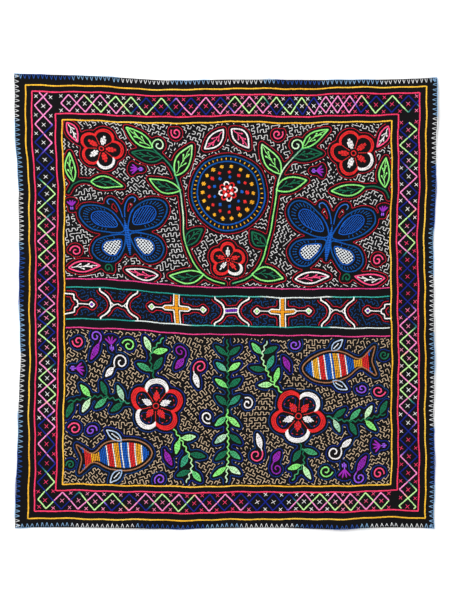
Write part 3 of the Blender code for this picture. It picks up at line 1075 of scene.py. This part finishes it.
def open_leaf(panel, yarn, base, tip, width, dye, vein_dye):
    """A leaf in outline, its bent midrib and side veins ending in small clubs."""
    sides = leaf_sides(base, tip, width, lean=0.12 * width)
    for side in sides:
        panel.sew(yarn, side, OUTLINE, dye)
    panel.keep_clear(closed_leaf(sides))
    rib = (sides[0] + sides[1]) / 2
    across = (sides[0] - sides[1]) / 2
    bent = rib[1:12] + across[1:12] * np.tile([[0.1], [-0.1]], (6, 1))[:11]
    panel.sew(yarn, bent, VEIN, vein_dye, width=1.15)
    for root, end, side in ((2, 5, 0.56), (3, 6, -0.56), (5, 8, 0.5), (6, 9, -0.5)):
        vein = [rib[root] * 0.8 + rib[end] * 0.2, rib[end] + across[end] * side]
        panel.sew(yarn, vein, VEIN, vein_dye, width=1.1)
        club = vein[0] * 0.3 + vein[1] * 0.7
        panel.sew(yarn, [club, vein[1]], VEIN, vein_dye, width=2.1)


def flower(panel, yarn, middle, radius, petals, turn, dyes, outlines=2, trim=None):
    """A flower with a thick outline, parted petals, a filled blade in each, and an eye.

    In trim, another yarn, a line follows each blade, with three short dashes at its tip.
    """
    angle = np.linspace(0, 2 * math.pi, petals * 16 + 1)
    lobes = 0.70 + 0.30 * np.abs(np.cos(petals * angle / 2)) ** 0.75
    ring = np.stack([np.cos(angle + turn), np.sin(angle + turn)], axis=1) * lobes[:, None]
    middle = np.asarray(middle, float)
    panel.keep_clear(middle + radius * ring)
    for petal in range(petals):
        part = slice(petal * 16 + 8, petal * 16 + 25)
        edge = ring[np.arange(part.start, part.stop) % (petals * 16)]
        for row in range(outlines):
            panel.sew(yarn, middle + (radius - 2.2 * row) * edge, OUTLINE, dyes[petal % len(dyes)])
        valley = toward(turn + (petal + 0.5) * 2 * math.pi / petals)
        panel.sew(yarn, middle + radius * np.outer((0.2, 0.68), valley), FOLLOW, dyes[0])
        way = turn + (petal + 1) * 2 * math.pi / petals
        reach = 0.6 if trim else 0.74
        blade = np.outer((0.16, reach), toward(way)) * radius + middle
        outline = closed_leaf(leaf_sides(*blade, 0.24 * radius))
        panel.fill(yarn, outline, way, 1.8, dyes[(petal + 1) % len(dyes)])
        if trim:
            core = 0.53 * radius * toward(way)
            round_blade = np.concatenate([radius * edge, [0.3 * core], radius * edge[:1]])
            panel.sew(trim, middle + core + 0.56 * (round_blade - core), FOLLOW)
            for lean in (-0.26, 0.0, 0.26):
                out = toward(way + lean)
                dash = 0.69 * radius * out + np.outer((-1.3, 1.3), (-out[1], out[0]))
                panel.sew(yarn, middle + dash, FOLLOW, dyes[0])
    eye = middle + 0.11 * radius * np.stack([np.cos(angle), np.sin(angle)], axis=1)
    panel.sew(yarn, eye[::4], VEIN, dyes[0])


def dot(panel, yarn, middle, size, dye=None):
    """An oval spot of three stitches side by side, leaning any way."""
    lean = hand.uniform(0, math.pi)
    way = toward(lean)
    for offset, share in ((-0.27, 0.55), (0.0, 1.0), (0.27, 0.55)):
        place = middle + offset * size * np.array([-way[1], way[0]])
        reach = size * share / 2 * way
        panel.sew(yarn, [place - reach, place + reach], {**FILL, "step": 9.0, "width": 1.9}, dye)


def bud(panel, yarn, base, heading, size, dyes):
    """A trumpet flower: a filled foot with three petals that fan out from it."""
    base = np.asarray(base, float)
    way = math.radians(heading)
    waist = base + 0.5 * size * toward(way)
    panel.fill(yarn, closed_leaf(leaf_sides(base, waist, 0.34 * size)), way, 1.8, dyes[0])
    for offset in (-0.75, -0.25, 0.25, 0.75):
        tip = waist + 0.6 * size * toward(way + offset)
        panel.sew(yarn, [waist, tip], {**VEIN, "step": size, "width": 2.3}, dyes[1])


def butterfly(panel, yarn, middle, heading):
    """A butterfly: combed and netted wings, a filled body and curled feelers."""
    turn = math.radians(heading)
    spin = turned_by(turn)

    def placed(points):
        return 1.1 * np.asarray(points, float) @ spin + middle

    fore = [(3, 7), (14, 27), (32, 39), (49, 38), (54, 25), (42, 9), (22, 1), (5, 0)]
    hind = [(4, -3), (22, -4), (38, -9), (44, -22), (35, -34), (20, -35), (9, -23), (4, -12)]
    for side in (-1, 1):
        for wing, inner_dye, angles in ((fore, 0.36, (0.9,)), (hind, 0.74, (0.7, -0.85))):
            outline = smooth(np.array(wing) * (side, 1), closed=True, steps=7)
            heart = outline.mean(axis=0)
            inner = (outline - heart) * 0.6 + heart - (side * 2.5, 0.0)
            panel.keep_clear(placed(outline))
            panel.sew(yarn, placed(outline), OUTLINE, 0.05)
            panel.sew(yarn, placed(inner), OUTLINE, 0.30, width=2.0)
            combed = placed((inner - heart) * 0.9 + heart)
            pitch = 2.7 if wing is fore else 3.2
            for angle in angles:
                panel.fill(yarn, combed, turn + side * angle, pitch, inner_dye, width=1.15)
            for k in range(2, len(outline) - 2, 2):
                comb = outline[k] * 0.72 + inner[k] * 0.28, outline[k] * 0.28 + inner[k] * 0.72
                if side * (outline[k][0] - heart[0]) > -8:
                    panel.sew(yarn, placed(comb), VEIN, 0.12, width=1.3)
        feeler = smooth([(1.5, 18), (3.5, 30), (8, 40), (14, 44), (18, 41), (16, 37)])
        panel.sew(yarn, placed(feeler * (side, 1)), VINE, 0.45, width=1.8)
    body = placed(closed_leaf(leaf_sides((0, -30), (0, 19), 7.0)))
    panel.keep_clear(body)
    panel.fill(yarn, body, turn, 2.3, 0.42, width=2.1)


medallion = np.array([MIDDLE, 146.0])
round_angle = np.linspace(0, 2 * math.pi, 73)
ring = np.stack([np.cos(round_angle), np.sin(round_angle)], axis=1)
upper.keep_clear(medallion + MEDALLION_RADIUS * ring)
for radius, dye in ((MEDALLION_RADIUS, 0.05), (41.5, 0.22)):
    upper.sew(blues, medallion + radius * ring, OUTLINE, dye, to=0.34)
for angle in np.arange(0, 2 * math.pi, math.radians(7.5)):
    spoke = medallion + np.outer((43.4, 47.1), toward(angle))
    upper.sew(golds, spoke, VEIN, step=9.0, lap=1.0)
for radius, count, size, yarn, dye in (
    (34.5, 18, 6.4, golds, None), (26.5, 13, 5.6, reds, 0.2), (19.5, 9, 5.0, blues, 0.40)
):
    for angle in np.linspace(0, 2 * math.pi, count, endpoint=False):
        spot = medallion + radius * toward(angle)
        dot(upper, yarn, spot, size * hand.uniform(0.75, 1.1), dye)
flower(upper, reds, medallion, 13.0, 8, 0.2, (0.2, 0.7), outlines=1)
flower(upper, reds, (MIDDLE, 58.0), 24.0, 5, math.pi / 2, (0.15, 0.2, 0.7))

for side in (-1, 1):

    def mirrored(points):
        return np.asarray(points, float) * (side, 1) + (MIDDLE, 0)

    def heading_of(heading):
        return heading if side > 0 else 180 - heading

    butterfly(upper, blues, mirrored((134, 86)), side * -8)
    flower(upper, reds, mirrored((164, 199)), 28.0, 5, math.pi / 2 + side * 0.3, (0.2, 0.2, 0.68))
    vine = smooth([(5, 24), (28, 35), (48, 58), (57, 90), (60, 120), (64, 150), (75, 180), (98, 204)])
    upper.sew(greens, mirrored(vine), VINE, 0.02 if side < 0 else 0.9)
    edge_vine = smooth([(211, 138), (205, 149), (193, 155), (180, 155)])
    upper.sew(greens, mirrored(edge_vine), VINE, 0.5)
    for yarn, base, tip, width, dye, vein_dye in (
        (greens, (31, 38), (76, 33), 18, 0.1, 0.6),
        (greens, (54, 76), (33, 96), 15, 0.55, 0.6),
        (greens, (63, 149), (103, 163), 17, 0.05, 0.62),
        (greens, (70, 170), (45, 210), 19, 0.12, 0.1),
        (greens, (86, 193), (125, 196), 15, 0.58, 0.62),
        (greens, (98, 204), (132, 229), 15, 0.0, 0.1),
        (greens, (205, 153), (206, 192), 13, 0.08, 0.12),
        (greens, (180, 155), (137, 150), 15, 0.05, 0.6),
        (pinks, (209, 34), (168, 37), 14, 0.1, 0.62),
        (pinks, (5, 230), (29, 205), 16, 0.62, 0.15),
        (pinks, (209, 233), (194, 206), 13, 0.1, 0.66),
        (pinks, (92, 33), (134, 36), 14, 0.66, 0.1),
    ):
        open_leaf(upper, yarn, mirrored(base), mirrored(tip), width, dye, vein_dye)
    for start, heading, radius, turns, way, yarn, dye in (
        ((98, 204), 80, 9.0, 1.3, 1, greens, 0.2),
        ((207, 58), 110, 7.5, 1.3, 1, pinks, 0.1),
        ((72, 229), -80, 7.5, 1.3, -1, pinks, 0.1),
        ((152, 32), 100, 6.0, 1.2, -1, greens, 0.55),
    ):
        upper.sew(yarn, mirrored(curl(start, heading, radius, turns, way)), VINE, dye)
    for base, heading, size in (((110, 175), 0, 15), ((206, 114), 88, 13)):
        bud(upper, purples, mirrored(base), heading_of(heading), size, (0.1, 0.6))
upper.measure()
upper_follow = Yarn("red_lines_round_upper_motifs")
for line in upper.following_lines(4.3):
    upper_follow.sew(line, FOLLOW, width=0.75)
upper_meander = Yarn("white_upper_meander")
for line in upper.wandering_lines(5.9, 3.7, 20, (45, 10, 30, -20), longest=22):
    upper_meander.strokes(line[:-1], line[1:], MEANDER)
green_floss = dyed_yarn(
    "space_dyed_green_floss",
    (0.0, "#88ea78"), (0.19, "#9cf086"), (0.27, "#dcf5d4"), (0.36, "#3fae88"),
    (0.48, "#106a4a"), (0.80, "#12724e"), (0.91, "#55c080"), (1.0, "#88ea78"),
)
pink_floss = dyed_yarn(
    "space_dyed_pink_and_white_floss",
    (0.0, "#ff4d84"), (0.30, "#ff5c90"), (0.45, "#ffb2d0"), (0.55, "#f5f2f1"),
    (0.85, "#f5f2f1"), (0.93, "#ffb2d0"), (1.0, "#ff4d84"),
)
flower_floss = dyed_yarn(
    "space_dyed_red_and_white_floss",
    (0.0, "#e8322c"), (0.42, "#e0222a"), (0.54, "#f29aa0"), (0.60, "#f3f0ef"),
    (0.84, "#f3f0ef"), (0.92, "#f29aa0"), (1.0, "#e8322c"),
)
blue_floss = dyed_yarn(
    "space_dyed_blue_floss",
    (0.0, "#084f94"), (0.22, "#0a559e"), (0.36, "#1058bc"), (0.50, "#1e69ca"), (0.60, "#7ab2ea"),
    (0.70, "#eef2f5"), (0.84, "#eef2f5"), (0.93, "#7ab2ea"), (1.0, "#084f94"),
    sheen=0.01,
)
gold_floss = plain_yarn("bright_gold_floss", "#f5b42a", "#eaa31c")
purple_floss = dyed_yarn(
    "space_dyed_purple_floss",
    (0.0, "#9a5be8"), (0.35, "#9a5be8"), (0.5, "#8a2fc0"), (0.8, "#a0149a"), (1.0, "#9a5be8"),
)
for yarn, material in (
    (greens, green_floss), (pinks, pink_floss), (reds, flower_floss), (blues, blue_floss),
    (golds, gold_floss), (purples, purple_floss), (upper_follow, red_floss),
    (upper_meander, white_floss),
):
    yarn.finish(material)

# The lower field is turned about its middle: a leafy garland, two large flowers and two
# banded fish among tendrils. Its leaves are filled in with rows of floss. A navy line
# follows each motif, and tan stitches turn square corners through what is left.

LOWER_TOP = -42.3
LOWER_BOTTOM = PANEL_BOTTOM_INSET - HALF_LENGTH
LOWER_MIDDLE = (LOWER_TOP + LOWER_BOTTOM) / 2
STEM = {**CHAIN, "width": 2.0, "step": 2.8}
STEM_ZIGZAG = 1.8
STEM_ZIGZAG_PITCH = 4.0
GARLAND_LEAF_LENGTH = 21.0
GARLAND_LEAF_SPACING = 22.0
FISH_BAND = 8.5
lower = Panel(LOWER_BOTTOM, LOWER_TOP, stray=1.1)
lower_greens = Yarn("lower_green_garlands", dye_run=500.0)
lower_reds = Yarn("lower_red_flowers", dye_run=300.0)
lower_blues = Yarn("lower_fish_blue", dye_run=520.0)
lower_golds = Yarn("lower_fish_gold")
lower_browns = Yarn("lower_fish_outline")
lower_pinks = Yarn("lower_pink_and_white_tendrils", dye_run=420.0)
lower_purples = Yarn("lower_purple_tendrils", dye_run=260.0)
lower_follow = Yarn("navy_lines_round_lower_motifs")


def stepped(path):
    """The path as a zigzag of short steps."""
    points, _ = steps_along(path, STEM_ZIGZAG_PITCH)
    ways = np.diff(points, axis=0)
    ways = np.concatenate([ways, ways[-1:]])
    across = np.stack([-ways[:, 1], ways[:, 0]], axis=1) / np.hypot(*ways.T)[:, None]
    swing = np.where(np.arange(len(points)) % 2, STEM_ZIGZAG, -STEM_ZIGZAG)
    swing[0] = swing[-1] = 0
    return points + across * swing[:, None]


def full_leaf(panel, yarn, base, tip, width, dye):
    """A small leaf on a short stalk, filled in with rows of floss along it."""
    base, tip = np.asarray(base, float), np.asarray(tip, float)
    foot = base + 0.16 * (tip - base)
    panel.sew(yarn, [base, foot], VEIN, dye)
    sides = leaf_sides(foot, tip, width)
    outline = closed_leaf(sides)
    panel.keep_clear(outline)
    for side in sides:
        panel.sew(yarn, side, FILL, dye)
    along = tip - foot
    shrunk = (outline - outline.mean(axis=0)) * 0.8 + outline.mean(axis=0)
    panel.fill(yarn, shrunk, math.atan2(along[1], along[0]), 1.9, dye)


def garland(panel, yarn, path, dye, first=8.0):
    """A stepped stem with pairs of full leaves along it."""
    panel.sew(yarn, stepped(path), STEM, dye)
    points, along = steps_along(path, 1.0)
    for k, place in enumerate(np.arange(first, along[-1] - 4.0, GARLAND_LEAF_SPACING)):
        at = int(place)
        way = points[min(at + 2, len(points) - 1)] - points[at - 2]
        heading = math.atan2(way[1], way[0])
        for side in (-1, 1):
            tip = points[at] + GARLAND_LEAF_LENGTH * toward(heading + side * 0.9)
            if panel.has_room(tip):
                tone = (dye + 0.37 * k + 0.1 * side) % 1.0
                full_leaf(panel, yarn, points[at], tip, 6.2, tone)


def fish(panel, middle, turn):
    """A banded fish: brown outline, white line along it, bands of red, blue and gold."""
    spin = turned_by(turn)

    def placed(points):
        return 1.08 * np.asarray(points, float) @ spin + middle

    body = [(44, 0), (34, 12), (14, 18), (-10, 15), (-28, 5), (-46, 18), (-41, 0)]
    body += [(-46, -17), (-28, -5), (-10, -15), (14, -17), (34, -11)]
    outline = smooth(body, closed=True, steps=6)
    panel.keep_clear(placed(outline))
    panel.sew(lower_browns, placed(outline), OUTLINE, width=1.9)
    inner = (outline - (2, 0)) * (0.9, 0.84) + (2, 0)
    bands = (lower_blues, 0.38), (lower_reds, 0.2), (lower_golds, None)
    for row in rows(inner, math.pi / 2, 2.0):
        at = row[0][0] + 46
        yarn, dye = bands[int(at / FISH_BAND) % len(bands)]
        # A pale line parts the bands along the middle of the body.
        if 34 < at < 78 and abs(at % FISH_BAND - 1.2) < 1.1:
            yarn, dye = lower_pinks, 0.7
        panel.sew(yarn, placed(row), FILL, dye)
    for side in (-1, 1):
        fin = leaf_sides((6 + side * 2, side * 17), (-10, side * 30), 9.0)
        panel.keep_clear(placed(closed_leaf(fin)))
        for edge in fin:
            panel.sew(lower_blues, placed(edge), OUTLINE, 0.62, width=1.9)
        panel.sew(lower_blues, placed((fin[0] + fin[1])[2:9:6] / 2), VEIN, 0.7)


for half in (-1, 1):

    def turned(points):
        points = np.asarray(points, float) + (-MIDDLE, -LOWER_MIDDLE)
        return -half * points + (MIDDLE, LOWER_MIDDLE)

    def heading_turned(heading):
        return heading if half < 0 else heading + 180

    facing = 0.0 if half < 0 else math.pi
    middle_garland = turned([(MIDDLE, LOWER_MIDDLE + 2), (MIDDLE, -236)])
    garland(lower, lower_greens, middle_garland, 0.02 if half < 0 else 0.5)
    bloom, turn = turned((-92, -136)), math.pi / 2 + facing
    flower(lower, lower_reds, bloom, 35.0, 5, turn, (0.2, 0.66, 0.2), 3, lower_follow)
    for stem, dye, first in (
        ([(-129, -136), (-168, -127), (-209, -136)], 0.4, 8.0),
        ([(-95, -100), (-101, -74), (-86, -50)], 0.75, 8.0),
        ([(-70, -166), (-53, -186), (-44, -210), (-50, -234)], 0.1, 14.0),
    ):
        garland(lower, lower_greens, turned(smooth(stem)), dye, first=first)
    fish(lower, turned((-144, -202)), facing + 0.12)
    for start, heading, radius, turns, way, yarn, dye in (
        ((-206, -60), -80, 8.0, 1.3, 1, lower_pinks, 0.05),
        ((-167, -61), 60, 8.0, 1.3, 1, lower_purples, 0.1),
        ((-148, -92), 110, 10.0, 1.3, -1, lower_pinks, 0.62),
        ((-138, -62), 60, 8.0, 1.3, -1, lower_greens, 0.1),
        ((-207, -166), 60, 8.0, 1.3, -1, lower_pinks, 0.1),
        ((-171, -172), 100, 7.0, 1.3, 1, lower_purples, 0.1),
        ((-209, -216), 85, 6.0, 1.3, -1, lower_greens, 0.45),
        ((-46, -88), 100, 9.5, 1.3, -1, lower_pinks, 0.1),
        ((-58, -70), 60, 8.0, 1.3, 1, lower_purples, 0.55),
        ((-22, -158), 190, 8.0, 1.3, -1, lower_pinks, 0.66),
        ((-92, -234), 110, 7.5, 1.3, -1, lower_purples, 0.1),
    ):
        lower.sew(yarn, turned(curl(start, heading, radius, turns, way)), VINE, dye)
    for base, tip, yarn, dye in (
        ((-167, -61), (-181, -83), lower_purples, 0.6),
        ((-148, -92), (-161, -104), lower_pinks, 0.65),
        ((-46, -88), (-38, -112), lower_pinks, 0.62),
        ((-58, -70), (-70, -87), lower_purples, 0.62),
        ((-80, -192), (-70, -212), lower_purples, 0.66),
    ):
        full_leaf(lower, yarn, turned(base), turned(tip), 6.5, dye)
    for base, heading, size in (((-209, -96), 3, 17), ((-152, -74), 92, 18)):
        bud(lower, lower_purples, turned(base), heading_turned(heading), size, (0.1, 0.65))
lower.measure()
for line in lower.following_lines(4.0):
    lower_follow.sew(line, FOLLOW, width=1.35)
lower_meander = Yarn("tan_lower_meander")
for line in lower.wandering_lines(5.5, 3.6, 20, (40, 0, 60, 20, -25), longest=22):
    lower_meander.strokes(line[:-1], line[1:], MEANDER)
for yarn, material in (
    (lower_greens, green_floss), (lower_reds, flower_floss), (lower_blues, blue_floss),
    (lower_golds, gold_floss), (lower_pinks, pink_floss), (lower_purples, purple_floss),
):
    yarn.finish(material)
lower_browns.finish(plain_yarn("brown_floss", "#b57e58", "#a8714c"))
lower_follow.finish(dyed_yarn(
    "royal_navy_floss",
    (0.0, "#0b3d78"), (0.35, "#0d3082"), (0.65, "#102486"), (1.0, "#0b3d78"),
    sheen=0.01,
))
lower_meander.finish(plain_yarn("tan_floss", "#e4cba9", "#d9be9c"))

# A studio floor, soft light from all round and a camera straight above, as the picture
# was taken. None of it belongs to the cloth.

FLOOR_GAP = 0.2
LIGHT_FROM_ALL_ROUND = 0.80
SOFT_BOX_WATTS = 38.0
# The picture is 613 pixels high, and each one shows 1.297 mm of the cloth.
PICTURE_HEIGHT = 613 * 1.297 * MM
CAMERA_OVER = (6.0, -6.5)
LENS = 85.0
SENSOR = 36.0

bpy.ops.mesh.primitive_plane_add(size=12.0, location=(0.0, 0.0, -FLOOR_GAP * MM))
floor = bpy.context.object
floor.name = "studio_floor"
paper = bpy.data.materials.new("white_studio_paper")
paper.use_nodes = True
paper_shader = paper.node_tree.nodes["Principled BSDF"]
paper_shader.inputs["Base Color"].default_value = linear("#fbfbfb")
paper_shader.inputs["Roughness"].default_value = 0.9
floor.data.materials.append(paper)

world = bpy.data.worlds.new("soft_studio")
world.use_nodes = True
sky = world.node_tree.nodes["Background"]
sky.inputs["Color"].default_value = (1.0, 1.0, 1.0, 1.0)
sky.inputs["Strength"].default_value = LIGHT_FROM_ALL_ROUND
bpy.context.scene.world = world

key = bpy.data.lights.new("soft_box", "AREA")
key.shape = "RECTANGLE"
key.size = 1.6
key.size_y = 1.2
key.energy = SOFT_BOX_WATTS
soft_box = bpy.data.objects.new("soft_box", key)
soft_box.location = (-1.1, 1.2, 1.7)
soft_box.rotation_euler = (math.radians(-38), math.radians(-33), 0.0)
bpy.context.scene.collection.objects.link(soft_box)

lens = bpy.data.cameras.new("camera")
lens.lens = LENS
lens.sensor_width = SENSOR
camera = bpy.data.objects.new("camera", lens)
camera.location = (CAMERA_OVER[0] * MM, CAMERA_OVER[1] * MM, PICTURE_HEIGHT * LENS / SENSOR)
bpy.context.scene.collection.objects.link(camera)
bpy.context.scene.camera = camera
bpy.context.scene.view_settings.view_transform = "Standard"
